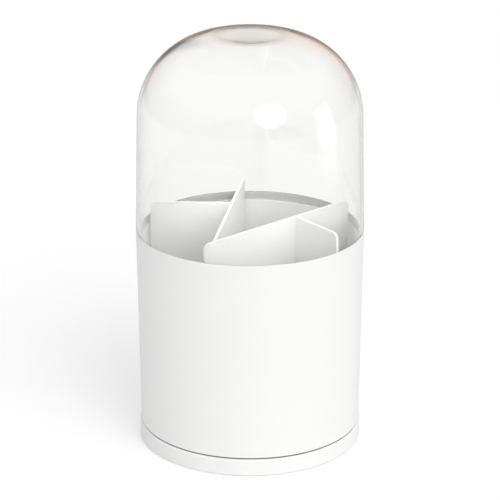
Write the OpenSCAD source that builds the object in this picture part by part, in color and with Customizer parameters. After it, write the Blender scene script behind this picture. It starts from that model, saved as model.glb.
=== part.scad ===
// Dustproof makeup organizer: a round bucket with a five-way divider under a clear dome lid,
// turning on a ball track in a low round base. Millimetres, +Z up, origin on the ground at the centre,
// front towards -Y.

/* [Bucket] */
// Outer radius at the rim, where bucket and lid meet flush
rim_r = 65; // [60:0.5:70]
// Height of the rim above the ground
rim_z = 126.4; // [110:0.2:150]
// How much smaller the radius is at the bottom edge
body_taper = 1.66; // [1:0.02:2.4]
// Wall thickness of the bucket
wall_t = 2.2; // [2:0.1:3]

/* [Lid] */
// Thickness of the clear wall
lid_t = 2.2; // [2:0.1:2.6]
// Height of the lid's straight wall above the rim
lid_wall_h = 67.2; // [50:0.2:90]
// Draft of the straight wall, in degrees
lid_draft = 1.2; // [0.6:0.1:1.6]
// Radius of the shoulder arc
shoulder_r = 46.7; // [40:0.1:50]
// Radius of the flatter crown arc
crown_r = 129.1; // [120:0.1:140]
// Thickness of the crown, to which the wall thins out
crown_t = 1.2; // [1.2:0.1:1.8]
// Radius of the ring at which the rounded edge of the thumb dimple is highest
dimple_ring_r = 19.5; // [18:0.5:20]
// Steepest slope of the dished dimple, in degrees
dimple_slope = 11; // [10:0.5:12]
// Radius that rounds the dimple's edge
dimple_edge_r = 25; // [20:1:26]

/* [Divider] */
// Thickness of the divider's panels
panel_t = 1.6; // [1.4:0.1:2.4]
// How far the panels stand above the rim
panel_rise = 9.6; // [6:0.2:12]
// Radius of the panels' rounded top corners
panel_corner_r = 4; // [2:0.5:8]
// Where the long front panel meets the wall, in degrees right of front
long_panel_at = -24; // [-30:1:-18]
// Direction of the long panel, in degrees from +X
long_panel_dir = 43; // [38:1:48]
// Where the right panel meets the wall, in degrees right of front
right_panel_at = 51.5; // [46:0.5:56]
// Direction of the right panel, in degrees from +X
right_panel_dir = 126; // [120:1:132]

/* [Base] */
// How far the base stands out beyond the bucket's bottom edge
base_lip = 0.7; // [0:0.1:2]
// Height of the base's top edge
base_h = 10; // [9.6:0.1:10]
// Gap between base and bucket
seam_gap = 0.6; // [0.4:0.1:1]
// Number of foot pads
pad_count = 6; // [3:1:6]

/* [Turntable] */
// Number of steel balls
ball_count = 12; // [8:1:16]
// Radius of a ball
ball_r = 2; // [1.8:0.1:2.1]
// Radius of the circle that the balls run on
track_r = 44; // [40:1:45]

/* [Hidden] */
$fn = 96;
// Overlap of solids that are joined, and reach of cutters past what they cut
eps = 0.01;
over = 1;

// Running clearance of the pivot and of the balls in their tracks
pivot_clear = 0.06;
ball_clear = 0.05;

// Heights of the base and of what turns on it
pad_r = 7;
pad_proud = 0.3;
pad_sunk = 1;
base_r = rim_r - body_taper + base_lip;
pad_in = 12;
pad_ring_r = base_r - pad_in;
base_floor_t = 2.2;
base_wall_t = 1.4;
base_edge_r = 1.2;
base_floor_z = pad_proud + base_floor_t;
ball_z = 5;
track_groove_r = ball_r + ball_clear;
track_face_gap = 1.1;
track_w = 8;
cage_t = 1.4;
cage_w = 6;
plate_z = ball_z + track_face_gap;
plate_t = 2.4;
plate_r = 50;
plate_top_z = plate_z + plate_t;
floor_t = 2.2;
boss_h = 3.5;
floor_under_z = plate_top_z + boss_h;
floor_z = floor_under_z + floor_t;

// Pivot at the centre of the base
hub_r = 12;
hub_gap = 0.4;
hub_top_z = plate_z - hub_gap;
hub_land_z = 4;
washer_well_r = 8.5;
pivot_r = 5;
washer_r = 8;
washer_t = 0.8;
washer_play = 0.15;
pivot_end_z = hub_land_z - washer_play;
pivot_floor_gap = 0.8;
pivot_boss_top_z = floor_under_z - pivot_floor_gap;
pivot_screw_r = 1.75;
pivot_head_r = 3.4;
pivot_head_h = 2;
pivot_head_taper = 0.8;
pivot_screw_tip_z = 10.4;
screw_clear = 0.05;
socket_depth = 1.1;
slot_t = 0.7;
slot_l_share = 1.2;

// Screws that hold the turntable plate
plate_screw_count = 4;
plate_screw_ring_r = 30;
plate_screw_from = 45;
plate_screw_r = 1.5;
plate_screw_head_r = 2.9;
plate_screw_head_h = 1.6;
plate_screw_skin = 1.4;
plate_screw_tip_z = floor_z - plate_screw_skin;
pilot_over = 0.3;
screw_boss_r = 4;

// Ribs under the bucket's floor
rib_t = 1.8;
rib_count = 8;
rib_in_r = 7;
rib_out_r = track_r + rib_t / 2;

// Bucket wall
bucket_bottom_z = base_h + seam_gap;
body_h = rim_z - bucket_bottom_z;
function bucket_r(z) = rim_r - body_taper * (rim_z - z) / body_h;
floor_fillet_r = 2;
bottom_edge_r = 0.5;

// Shiplap between lid and bucket rim
lap_t = 1;
lap_depth = 4.5;
lap_clear = 0.15;
lap_axial = 0.5;
lap_in_r = rim_r - lid_t / cos(lid_draft);

// Height of the outer crown arc over the centre, above the rim
shoulder_x = rim_r - lid_wall_h * tan(lid_draft) - shoulder_r * cos(lid_draft);
shoulder_z = lid_wall_h - shoulder_r * sin(lid_draft);
crown_top_z = shoulder_z - sqrt(pow(crown_r - shoulder_r, 2) - pow(shoulder_x, 2)) + crown_r;

// How the inside of the lid differs from a parallel surface: the shoulder arc is larger, and the dimple's
// edge lies nearer the axis and is less steep
shoulder_in_more = 1.5;
dimple_in_shift = 0.3;
dimple_in_less = 1.5;

// Divider
panel_end_gap = 0.3;
panel_end_r = bucket_r(floor_z) - wall_t - panel_end_gap;
panel_top_z = rim_z + panel_rise;
panel_h = panel_top_z - floor_z;
panel_foot_cut = 2.5;
panel_arc_out = 0.05;
rail_h = 3;
rail_t = 1.2;
rail_l = 4.5;
rail_in = 1.5;
rail_clear = 0.2;

// Places where the panels meet the wall and each other, seen from above
function on_wall(at) = [panel_end_r * sin(at), -panel_end_r * cos(at)];
function heading(dir) = [cos(dir), sin(dir)];
function cross2(a, b) = a[0] * b[1] - a[1] * b[0];
// Distance along the line from p in direction u to where it crosses the line from q in direction v
function reach(p, u, q, v) = cross2(q - p, v) / cross2(u, v);
// Distance along the line from p in direction u to where it leaves the round wall
function to_wall(p, u, r) = -(p * u) + sqrt(pow(p * u, 2) - p * p + r * r);

long_start = on_wall(long_panel_at);
long_u = heading(long_panel_dir);
long_l = to_wall(long_start, long_u, panel_end_r);
right_start = on_wall(right_panel_at);
right_u = heading(right_panel_dir);
right_l = reach(right_start, right_u, long_start, long_u);
back_panel_from = 7.2;
back_panel_dir = 82;
back_start = long_start + back_panel_from * long_u;
back_u = heading(back_panel_dir);
back_l = to_wall(back_start, back_u, panel_end_r);
side_panel_from = 66;
side_panel_dir = 176;
side_start = back_start + side_panel_from * back_u;
side_u = heading(side_panel_dir);
side_l = to_wall(side_start, side_u, panel_end_r);

// Each panel: start, direction from +X, length, and whether its start and its end stand free at the wall
panels = [
    [long_start, long_panel_dir, long_l, true, true],
    [right_start, right_panel_dir, right_l, true, false],
    [back_start, back_panel_dir, back_l, false, true],
    [side_start, side_panel_dir, side_l, false, true],
];

pad_names = [for (i = [1:pad_count]) str("foot_pad_", i)];
ball_names = [for (i = [1:ball_count]) str("ball_", i)];

// Copies the children evenly round the centre
module around(count, radius, from = 0)
{
    for (i = [0:count - 1])
        rotate([0, 0, from + i * 360 / count])
            translate([radius, 0, 0])
                children();
}

// Flat ring between two heights
module ring(r_in, r_out, z0, z1)
{
    translate([0, 0, z0])
        difference()
        {
            cylinder(r = r_out, h = z1 - z0);
            translate([0, 0, -over])
                cylinder(r = r_in, h = z1 - z0 + 2 * over);
        }
}

// Round groove in which the balls run
module track_groove()
{
    rotate_extrude()
        translate([track_r, ball_z])
            circle(r = track_groove_r, $fn = 48);
}

// Dished base with the lower ball track, the pivot hub and the recesses for the pads
module base_plate()
{
    color("whitesmoke")
        difference()
        {
            union()
            {
                rotate_extrude()
                    base_profile();
                ring(track_r - track_w / 2, track_r + track_w / 2, base_floor_z - eps, ball_z - track_face_gap);
                translate([0, 0, pad_proud])
                    cylinder(r = hub_r, h = hub_top_z - pad_proud);
            }
            track_groove();
            cylinder(r = pivot_r + pivot_clear, h = base_h);
            cylinder(r = washer_well_r, h = hub_land_z);
            around(pad_count, pad_ring_r)
                cylinder(r = pad_r + screw_clear, h = pad_proud + pad_sunk);
        }
}

// Half section of the dish, its top outer edge rounded
module base_profile()
{
    difference()
    {
        union()
        {
            translate([0, pad_proud])
                square([base_r, base_h - pad_proud - base_edge_r]);
            translate([0, pad_proud])
                square([base_r - base_edge_r, base_h - pad_proud]);
            translate([base_r - base_edge_r, base_h - base_edge_r])
                circle(r = base_edge_r, $fn = 48);
        }
        translate([0, base_floor_z])
            square([base_r - base_wall_t, base_h]);
    }
}

// Soft round pad, standing proud of the base
module foot_pad(i)
{
    color("lightgray")
        rotate([0, 0, (i - 1) * 360 / pad_count])
            translate([pad_ring_r, 0, 0])
                cylinder(r = pad_r, h = pad_proud + pad_sunk);
}

// Ring whose round pockets snap over the balls
module ball_cage()
{
    color("gainsboro")
        difference()
        {
            ring(track_r - cage_w / 2, track_r + cage_w / 2, ball_z - cage_t / 2, ball_z + cage_t / 2);
            around(ball_count, track_r)
                translate([0, 0, ball_z])
                    sphere(r = ball_r + ball_clear, $fn = 32);
        }
}

// Steel ball on the track
module ball(i)
{
    color("silver")
        rotate([0, 0, (i - 1) * 360 / ball_count])
            translate([track_r, 0, ball_z])
                sphere(r = ball_r, $fn = 32);
}

// Disc with the upper ball track and the pivot that turns in the base's hub
module turntable_plate()
{
    color("gainsboro")
        difference()
        {
            union()
            {
                translate([0, 0, plate_z])
                    cylinder(r = plate_r, h = plate_t);
                translate([0, 0, pivot_end_z])
                    cylinder(r = pivot_r, h = pivot_boss_top_z - pivot_end_z);
            }
            track_groove();
            translate([0, 0, pivot_end_z - over])
                cylinder(r = pivot_screw_r + screw_clear, h = pivot_screw_tip_z - pivot_end_z + over);
            around(plate_screw_count, plate_screw_ring_r, plate_screw_from)
            {
                translate([0, 0, plate_z - over])
                    cylinder(r = plate_screw_r + screw_clear, h = plate_t + 2 * over);
                translate([0, 0, plate_z])
                    cylinder(
                        r1 = plate_screw_head_r + screw_clear,
                        r2 = plate_screw_r + screw_clear,
                        h = plate_screw_head_h
                    );
            }
        }
}

// Four countersunk screws through the plate into the bucket's bosses
module plate_screws()
{
    color("silver")
        around(plate_screw_count, plate_screw_ring_r, plate_screw_from)
            difference()
            {
                union()
                {
                    translate([0, 0, plate_z])
                        cylinder(r1 = plate_screw_head_r, r2 = plate_screw_r, h = plate_screw_head_h);
                    translate([0, 0, plate_z])
                        cylinder(r = plate_screw_r, h = plate_screw_tip_z - plate_z);
                }
                translate([0, 0, plate_z - over])
                    cross_slot(plate_screw_head_r * slot_l_share, socket_depth + over);
            }
}

// Centre screw, its pan head under the washer
module pivot_screw()
{
    head_z = pivot_end_z - washer_t - pivot_head_h;
    color("silver")
        difference()
        {
            union()
            {
                translate([0, 0, head_z])
                    cylinder(r1 = pivot_head_r * pivot_head_taper, r2 = pivot_head_r, h = pivot_head_h / 2);
                translate([0, 0, head_z + pivot_head_h / 2])
                    cylinder(r = pivot_head_r, h = pivot_head_h / 2);
                translate([0, 0, head_z])
                    cylinder(r = pivot_screw_r, h = pivot_screw_tip_z - pilot_over - head_z);
            }
            translate([0, 0, head_z - over])
                cross_slot(pivot_head_r * slot_l_share, socket_depth + over);
        }
}

// Cross recess of a screw head
module cross_slot(size, depth)
{
    for (turn = [0, 90])
        rotate([0, 0, turn])
            translate([-size / 2, -slot_t / 2, 0])
                cube([size, slot_t, depth]);
}

// Washer that turns with the pivot under the hub's land
module pivot_washer()
{
    color("silver")
        ring(pivot_screw_r + screw_clear, washer_r, pivot_end_z - washer_t, pivot_end_z);
}

// Tapered shell with its raised floor, the ribs and bosses below it and the rails on it
module bucket()
{
    color("white")
        difference()
        {
            union()
            {
                rotate_extrude($fn = 180)
                    bucket_profile();
                ring(track_r - rib_t / 2, track_r + rib_t / 2, plate_top_z, floor_under_z + eps);
                bucket_ribs();
                around(plate_screw_count, plate_screw_ring_r, plate_screw_from)
                    translate([0, 0, plate_top_z])
                        cylinder(r = screw_boss_r, h = floor_under_z - plate_top_z + eps);
                floor_rails();
            }
            around(plate_screw_count, plate_screw_ring_r, plate_screw_from)
                translate([0, 0, plate_top_z - over])
                    cylinder(
                        r = plate_screw_r + screw_clear,
                        h = plate_screw_tip_z + pilot_over - plate_top_z + over
                    );
        }
}

// Half section of the shell: outside, less the inside, the space below the floor and the rim's rebate
module bucket_profile()
{
    inner_floor_r = bucket_r(floor_z) - wall_t;
    difference()
    {
        union()
        {
            polygon([
                [0, bucket_bottom_z + bottom_edge_r],
                [bucket_r(bucket_bottom_z), bucket_bottom_z + bottom_edge_r],
                [rim_r, rim_z],
                [0, rim_z],
            ]);
            translate([0, bucket_bottom_z])
                square([bucket_r(bucket_bottom_z) - bottom_edge_r, bottom_edge_r + eps]);
            translate([bucket_r(bucket_bottom_z) - bottom_edge_r, bucket_bottom_z + bottom_edge_r])
                circle(r = bottom_edge_r, $fn = 32);
        }
        difference()
        {
            polygon([
                [0, floor_z],
                [inner_floor_r, floor_z],
                [rim_r - wall_t, rim_z],
                [rim_r - wall_t, rim_z + over],
                [0, rim_z + over],
            ]);
            difference()
            {
                translate([inner_floor_r - floor_fillet_r, floor_z - over])
                    square([floor_fillet_r + over, floor_fillet_r + over]);
                translate([inner_floor_r - floor_fillet_r, floor_z + floor_fillet_r])
                    circle(r = floor_fillet_r, $fn = 48);
            }
        }
        translate([0, bucket_bottom_z - over])
            square([bucket_r(bucket_bottom_z) - wall_t, floor_under_z - bucket_bottom_z + over]);
        translate([0, rim_z - lap_depth - lap_axial])
            square([lap_in_r + lap_t + lap_clear, lap_depth + lap_axial + over]);
    }
}

// Straight ribs between the floor and the turntable plate
module bucket_ribs()
{
    for (i = [0:rib_count - 1])
        rotate([0, 0, i * 360 / rib_count])
            translate([rib_in_r, -rib_t / 2, plate_top_z])
                cube([rib_out_r - rib_in_r, rib_t, floor_under_z - plate_top_z + eps]);
}

// Pairs of low rails on the floor that hold the divider's panel ends
module floor_rails()
{
    for (p = panels)
    {
        if (p[3])
            rail_pair(p[0], p[1]);
        if (p[4])
            rail_pair(p[0] + p[2] * heading(p[1]), p[1] + 180);
    }
}

// One pair of rails, running inwards from the wall
module rail_pair(at, dir)
{
    translate([at[0], at[1], floor_z - eps])
        rotate([0, 0, dir])
            for (side = [-1, 1])
                translate([rail_in, side * (panel_t / 2 + rail_clear + rail_t / 2) - rail_t / 2, 0])
                    cube([rail_l, rail_t, rail_h]);
}

// Insert of four joined panels that makes five compartments
module divider_insert()
{
    color("white")
        difference()
        {
            translate([0, 0, floor_z])
                linear_extrude(height = panel_h)
                    for (p = panels)
                        translate(p[0])
                            rotate(p[1])
                                translate([0, -panel_t / 2])
                                    square([p[2], panel_t]);
            for (p = panels)
            {
                if (p[3])
                    free_end_cut(p[0], p[1]);
                if (p[4])
                    free_end_cut(p[0] + p[2] * heading(p[1]), p[1] + 180);
            }
        }
}

// What a panel end at the wall loses: the corner outside its top arc and the foot that clears the fillet
module free_end_cut(at, dir)
{
    arc_in = panel_corner_r - panel_arc_out;
    translate([at[0], at[1], floor_z])
        rotate([90, 0, dir])
            translate([0, 0, -panel_t])
                linear_extrude(height = 2 * panel_t)
                {
                    translate([0, panel_h])
                        difference()
                        {
                            translate([-over, -arc_in])
                                square([arc_in + over, arc_in + over]);
                            translate([arc_in, -arc_in])
                                circle(r = panel_corner_r, $fn = 64);
                        }
                    polygon([
                        [-over, -over],
                        [panel_foot_cut + over, -over],
                        [-over, panel_foot_cut + over],
                    ]);
                }
}

// Clear dome: its outer section less the inner one, with the lapping skirt below
module lid()
{
    shoulder_in_r = shoulder_r - lid_t + shoulder_in_more;
    crown_in_r = crown_r - lid_t;
    crown_in_z = crown_top_z - crown_t;
    color([0.9, 0.95, 0.95, 0.35])
        translate([0, 0, rim_z])
            rotate_extrude($fn = 180)
            {
                difference()
                {
                    dome_section(rim_r, 0, shoulder_r, crown_r, crown_top_z);
                    dimple_cut(crown_r, crown_top_z, dimple_ring_r, dimple_slope);
                    difference()
                    {
                        dome_section(lap_in_r, over, shoulder_in_r, crown_in_r, crown_in_z);
                        dimple_cut(
                            crown_in_r,
                            crown_in_z,
                            dimple_ring_r - dimple_in_shift,
                            dimple_slope - dimple_in_less
                        );
                    }
                }
                translate([lap_in_r, -lap_depth])
                    square([lap_t, lap_depth + eps]);
            }
}

// Closed half section of a dome: a drafted wall that starts at foot_r, and a shoulder arc and a crown arc
// that run into each other, the crown arc's top at top_z
module dome_section(foot_r, below, arc_r, top_r, top_z)
{
    // The shoulder's centre lies arc_r inside the wall and top_r - arc_r from the crown's centre
    lean = tan(lid_draft);
    reach_x = foot_r - arc_r / cos(lid_draft);
    centre_z = top_z - top_r;
    half = (reach_x * lean + centre_z) / (1 + pow(lean, 2));
    rest = (pow(reach_x, 2) + pow(centre_z, 2) - pow(top_r - arc_r, 2)) / (1 + pow(lean, 2));
    arc_z = half + sqrt(pow(half, 2) - rest);
    arc_x = reach_x - arc_z * lean;
    wall_end_z = arc_z + arc_r * sin(lid_draft);
    crown_dir = atan2(arc_x, arc_z - centre_z);
    polygon([
        [0, -below],
        [foot_r + below * lean, -below],
        [foot_r - wall_end_z * lean, wall_end_z],
        [0, wall_end_z],
    ]);
    intersection()
    {
        translate([arc_x, arc_z])
            circle(r = arc_r, $fn = 240);
        translate([0, arc_z])
            square([foot_r, arc_r + over]);
    }
    intersection()
    {
        translate([0, centre_z])
            circle(r = top_r, $fn = 720);
        polygon([
            [0, wall_end_z],
            [0, top_z + over],
            [(top_z + over - centre_z) * tan(crown_dir), top_z + over],
            [(wall_end_z - centre_z) * tan(crown_dir), wall_end_z],
        ]);
    }
}

// What the thumb dimple takes away under a crown arc: the dish, and what lies outside the arc that rounds
// the edge between dish and crown
module dimple_cut(top_r, top_z, ring_r, slope)
{
    centre_z = top_z - top_r;
    edge_up = sqrt(pow(top_r - dimple_edge_r, 2) - pow(ring_r, 2));
    to_dish = ring_r / sin(slope);
    dish_z = centre_z + edge_up + to_dish * cos(slope);
    translate([0, dish_z])
        circle(r = to_dish - dimple_edge_r, $fn = 360);
    difference()
    {
        polygon([
            [ring_r, centre_z + edge_up],
            [0, dish_z],
            [ring_r * (dish_z - centre_z) / edge_up, dish_z],
        ]);
        translate([ring_r, centre_z + edge_up])
            circle(r = dimple_edge_r, $fn = 180);
    }
}

base_plate();
for (i = [1:pad_count])
    foot_pad(i);
ball_cage();
for (i = [1:ball_count])
    ball(i);
turntable_plate();
plate_screws();
pivot_screw();
pivot_washer();
bucket();
divider_insert();
lid();
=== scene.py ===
"""Looks of a dustproof makeup organizer: a turning bucket with a divider under a clear dome lid.

Metres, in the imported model's frame: +Z up, the ground at zero, front towards -Y.
"""
from math import atan2, ceil, cos, pi, radians, sin, sqrt, tan

import bmesh
import bpy
from bpy.props import FloatProperty, FloatVectorProperty, IntProperty, PointerProperty
from bpy.types import Operator, Panel, PropertyGroup
from mathutils import Matrix, Vector


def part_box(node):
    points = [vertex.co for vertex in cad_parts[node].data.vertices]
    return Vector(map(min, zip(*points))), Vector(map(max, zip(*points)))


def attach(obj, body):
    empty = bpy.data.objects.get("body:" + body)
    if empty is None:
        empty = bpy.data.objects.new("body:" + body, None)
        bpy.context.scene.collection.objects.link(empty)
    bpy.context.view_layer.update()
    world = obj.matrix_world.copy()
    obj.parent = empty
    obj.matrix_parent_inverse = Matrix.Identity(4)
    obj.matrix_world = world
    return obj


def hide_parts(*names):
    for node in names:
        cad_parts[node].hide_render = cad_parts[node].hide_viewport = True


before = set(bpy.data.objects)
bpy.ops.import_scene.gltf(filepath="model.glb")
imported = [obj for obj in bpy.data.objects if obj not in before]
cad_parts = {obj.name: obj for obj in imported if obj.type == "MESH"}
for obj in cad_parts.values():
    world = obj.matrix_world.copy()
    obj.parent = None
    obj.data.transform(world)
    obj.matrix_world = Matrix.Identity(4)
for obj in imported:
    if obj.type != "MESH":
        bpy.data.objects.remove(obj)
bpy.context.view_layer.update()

bl_info = {
    "name": "Makeup Organizer",
    "version": (1, 0, 0),
    "blender": (4, 5, 0),
    "location": "View3D > Sidebar > Organizer",
    "description": "Builds a turning makeup organizer with a clear dome lid, piece by piece",
    "category": "Add Mesh",
}

BUCKET_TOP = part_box("bucket")[1]
BASE_FOOT, BASE_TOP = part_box("base_plate")
PANEL_FOOT, PANEL_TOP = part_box("divider_insert")

MM = 0.001
TURN = 2 * pi

# Fineness of the meshes
SHARP_ANGLE = radians(35)
BEVEL_ANGLE = radians(40)
CORNER_STEPS = 6
JOIN_DISTANCE = 0.002 * MM
SAME_POINT = 0.0001 * MM

# Play between pieces
HAIR = 0.02 * MM
LAP_PLAY = 0.15 * MM
LAP_BELOW = 0.5 * MM
LID_ABOVE = 0.05 * MM
WALL_PLAY = 0.3 * MM
RAIL_PLAY = 0.2 * MM

# Bearing, fasteners and pads
TRACK_RADIUS = 44 * MM
BALL_HEIGHT = 5 * MM
BALL_RADIUS = 2 * MM
PLATE_TOP = 8.5 * MM
SCREW_RING = 30 * MM
PAD_INSET = 12 * MM
PAD_RADIUS = 6.98 * MM
POCKET_RADIUS = 7.1 * MM

# Panels of the divider: the place on the wall or along another panel, and the heading in degrees
LONG_FROM, LONG_HEADING = -24, 43
RIGHT_FROM, RIGHT_HEADING = 51.5, 126
BACK_ALONG, BACK_HEADING = 7.2 * MM, 82
SIDE_ALONG, SIDE_HEADING = 66 * MM, 176

# Soft edges in the surroundings, as parts of a direction, and on the ground in metres
CEILING_FOOT = (0.2, 0.5)
BACK_WALL_SIDE = (0.72, 0.88)
BACK_WALL_TOP = (0.45, 0.75)
DIM_MIDDLE = (0.02, 0.12)
CORNER_SIDE = (0.05, 0.13)
DOOR_BACK = (0.04, 0.08)
DOOR_FRONT = (-0.42, -0.28)
DOOR_TOP = (0.3, 0.36)
DOOR_SILL = (0.55, 0.75)
FAR_GROUND = (1.3, 3.0)
WINDOW_EDGE = (cos(radians(34)), cos(radians(10)))

# Degrees to the right of the front, and up
WINDOW_WAY = (29, 40)
KEY_WAY = (22.5, 25.5)

KEY_WIDTH = radians(33)
GROUND_RADIUS = 6.0
CAMERA_PLACE = Vector((0, -1.3222, 0.5939))
CAMERA_AIM = Vector((0, 0, 0.11227))
CAMERA_LENS = 177.2


# Sizes and colours


def length(name, description, default):
    """A size in metres."""
    look = {"unit": "LENGTH", "subtype": "DISTANCE", "precision": 5}
    return FloatProperty(name=name, description=description, default=default, min=0.0, **look)


def slope(name, description, degrees):
    """An angle, given in degrees."""
    look = {"unit": "ROTATION", "subtype": "ANGLE"}
    return FloatProperty(name=name, description=description, default=radians(degrees), **look)


def colour(name, description, default):
    """A linear colour without alpha."""
    look = {"size": 3, "min": 0.0, "max": 1.0, "subtype": "COLOR"}
    return FloatVectorProperty(name=name, description=description, default=default, **look)


def share(name, description, default, high):
    """A plain factor."""
    return FloatProperty(name=name, description=description, default=default, min=0.0, max=high)


class OrganizerSizes(PropertyGroup):
    """Sizes of the moulded pieces."""

    rim_radius: length("Rim radius", "Outer radius where bucket and lid meet", BUCKET_TOP.x)
    rim_height: length("Rim height", "Height of the bucket's rim above the ground", BUCKET_TOP.z)
    taper: length("Taper", "How much smaller the radius is at the bottom edge", 1.66 * MM)
    wall: length("Bucket wall", "Wall thickness of the bucket", 2.2 * MM)
    floor_top: length("Floor height", "Height of the bucket's floor", PANEL_FOOT.z)
    floor_thickness: length("Floor thickness", "Thickness of the bucket's floor", 2.2 * MM)
    lid_wall: length("Lid wall", "Thickness of the clear wall", 2.2 * MM)
    lid_straight: length("Lid straight wall", "Height of the lid's straight wall", 67.2 * MM)
    shoulder_radius: length("Lid shoulder", "Radius of the shoulder arc", 46.7 * MM)
    crown_radius: length("Lid crown", "Radius of the crown arc", 129.1 * MM)
    crown_wall: length("Crown wall", "Thickness of the lid's crown", 1.2 * MM)
    shoulder_inside: length("Shoulder inside", "Radius of the shoulder arc inside", 46 * MM)
    dimple_ring: length("Dimple ring", "Radius at which the dimple's rounded edge is highest", 19.5 * MM)
    dimple_shift: length("Dimple shift", "How much nearer the centre the edge is inside", 0.3 * MM)
    dimple_edge: length("Dimple edge", "Radius that rounds the dimple's edge", 25 * MM)
    dimple_slope: slope("Dimple slope", "Steepest slope of the dished thumb dimple", 11)
    dimple_slope_inside: slope("Dimple slope inside", "Steepest slope of the dimple inside", 9.5)
    lid_draft: slope("Lid draft", "Slope of the lid's straight wall", 1.2)
    lap_thickness: length("Lap thickness", "Thickness of the lid's lapping skirt", 1 * MM)
    lap_depth: length("Lap depth", "Depth of the lapping skirt", 4.5 * MM)
    panel_thickness: length("Panel thickness", "Thickness of the divider's panels", 1.6 * MM)
    panel_top: length("Panel top", "Height of the panels' top edge", PANEL_TOP.z)
    panel_corner: length("Panel corner", "Radius of the panels' rounded corners", 4 * MM)
    base_radius: length("Base radius", "Outer radius of the base", BASE_TOP.x)
    base_height: length("Base height", "Height of the base's top edge", BASE_TOP.z)
    base_wall: length("Base wall", "Thickness of the base's wall", 1.4 * MM)
    base_floor: length("Base floor", "Thickness of the base's floor", 2.2 * MM)
    pad_depth: length("Pad depth", "Depth to which the pads are sunk in the base", 1 * MM)
    seam: length("Seam", "Gap between base and bucket", 0.6 * MM)
    seam_edge: length("Edge rounding", "Radius that softens the moulded edges", 0.3 * MM)
    round_steps: IntProperty(
        name="Round steps", description="Segments round a turned piece", default=192, min=48, max=360
    )


class OrganizerColours(PropertyGroup):
    """Colours of the finishes."""

    white: colour("White plastic", "Satin plastic of bucket, base and divider", (0.875, 0.875, 0.87))
    clear: colour("Clear plastic", "Tint of the lid's surface", (0.985, 0.985, 0.98))
    natural: colour("Natural plastic", "Unpigmented plastic of the bearing parts", (0.74, 0.73, 0.69))
    steel: colour("Steel", "Balls, screws and washer", (0.62, 0.62, 0.63))
    pads: colour("Pads", "Soft pads under the base", (0.47, 0.47, 0.46))
    floor: colour("Ground", "Pale ground that the organizer stands on", (0.86, 0.86, 0.86))


class OrganizerStudio(PropertyGroup):
    """Levels of the studio light."""

    ambient: share("Ambient", "Level of the light from all round", 0.72, 3.0)
    window: share("Window", "Extra level of the soft light from the upper right", 1.8, 10.0)
    inside: share("Inside", "Extra share of the light that comes in through the lid", 1.3, 3.0)
    key: share("Key", "Strength of the round lamp on the right", 0.32, 20.0)
    glow: share("Ground glow", "Light that the ground adds where the camera sees it", 0.19, 3.0)
    door: share("Doorway", "Level of the lit doorway on the right that gloss shows", 1.7, 10.0)
    ceiling: colour("Ceiling", "Pale ceiling that gloss shows", (0.95, 0.95, 0.95))
    room: colour("Room", "Grey walls of the room that gloss shows", (0.55, 0.55, 0.55))
    back: colour("Back wall", "Dim wall behind the organizer that gloss shows", (0.5, 0.43, 0.38))
    back_sides: colour("Back wall sides", "The same wall beside its dim middle", (0.88, 0.66, 0.53))
    corner: colour("Dark corner", "Dark corner in the back wall to the left", (0.18, 0.19, 0.2))
    corner_place: FloatProperty(name="Corner place", description="Its place across", default=-0.29)


def sizes():
    return bpy.context.scene.organizer_sizes


def colours():
    return bpy.context.scene.organizer_colours


def studio():
    return bpy.context.scene.organizer_studio


# Node trees


def feed(tree, node, inputs):
    """Links each of these inputs of a node, or gives it a value."""
    for key, value in inputs.items():
        if isinstance(value, bpy.types.NodeSocket):
            tree.links.new(value, node.inputs[key])
        else:
            node.inputs[key].default_value = value


def add(tree, kind, inputs=None, **settings):
    """A node with its settings and inputs."""
    node = tree.nodes.new(kind)
    for key, value in settings.items():
        setattr(node, key, value)
    feed(tree, node, inputs or {})
    return node


def maths(tree, operation, a, b=0.0):
    """The output of a Math node."""
    return add(tree, "ShaderNodeMath", {0: a, 1: b}, operation=operation).outputs[0]


def product(tree, first, *others):
    """The factors multiplied."""
    for factor in others:
        first = maths(tree, "MULTIPLY", first, factor)
    return first


def tidy(tree):
    """Sets the nodes out in columns, from what they depend on to what they feed."""
    column = {}
    for _ in tree.nodes:
        for node in tree.nodes:
            before = [column.get(l.from_node, 0) + 1 for s in node.inputs for l in s.links]
            column[node] = max(before, default=0)
    rows = {}
    for node in tree.nodes:
        row = rows.get(column[node], 0)
        rows[column[node]] = row + 1
        node.location = (column[node] * 220, -row * 240)


def shape_tree(name, kinds):
    """An empty Geometry Nodes tree with its named inputs, and what its input node gives."""
    tree = bpy.data.node_groups.new(name, "GeometryNodeTree")
    tree.is_modifier = True
    tree.interface.new_socket("Geometry", in_out="INPUT", socket_type="NodeSocketGeometry")
    for label, kind in kinds.items():
        tree.interface.new_socket(label, in_out="INPUT", socket_type=f"NodeSocket{kind}")
    tree.interface.new_socket("Geometry", in_out="OUTPUT", socket_type="NodeSocketGeometry")
    return tree, tree.nodes.new("NodeGroupInput").outputs


def close_tree(tree, given, shape):
    """Ends a tree in Realize Instances and Set Material."""
    real = add(tree, "GeometryNodeRealizeInstances", {"Geometry": shape}).outputs[0]
    inputs = {"Geometry": real, "Material": given["Material"]}
    painted = add(tree, "GeometryNodeSetMaterial", inputs)
    add(tree, "NodeGroupOutput", {"Geometry": painted.outputs[0]})
    tidy(tree)
    return tree


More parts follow.
